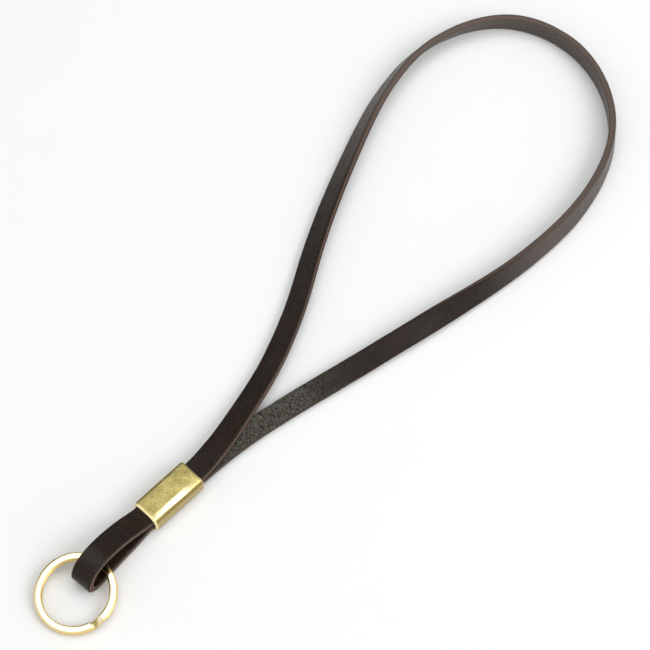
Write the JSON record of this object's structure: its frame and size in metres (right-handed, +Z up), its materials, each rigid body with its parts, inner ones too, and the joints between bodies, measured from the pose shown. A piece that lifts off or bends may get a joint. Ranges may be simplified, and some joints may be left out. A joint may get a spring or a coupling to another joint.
{
  "type": "wristlet keychain",
  "caption": "Leather strap folded into a wide wrist loop and a small loop, held by a brass sleeve, with a split ring for keys.",
  "frame": {"origin": "middle of the brass sleeve's underside, where it lies on the table", "axes": "+Z up from the table; +Y along the sleeve from the split ring towards the wrist loop; +X to the right"},
  "size_m": [0.089, 0.2735, 0.0102],
  "materials": {
    "leather": "dark brown full-grain leather, smooth, with raw cut edges",
    "antique_brass": "antique brass, mottled, with polished rims",
    "pale_gold": "polished pale gold plating"
  },
  "bodies": {
    "strap": {"wrist_strap": "leather", "small_loop": "leather", "sleeve": "antique_brass"},
    "ring": {"split_ring": "pale_gold"}
  },
  "joints": [
    {"name": "ring_swing", "type": "hinge", "parent": "strap", "child": "ring", "pos_m": [0.0009, -0.02985, 0.00395], "axis": [-0.9848, -0.1736, 0], "range_deg": [-12, 160]}
  ]
}
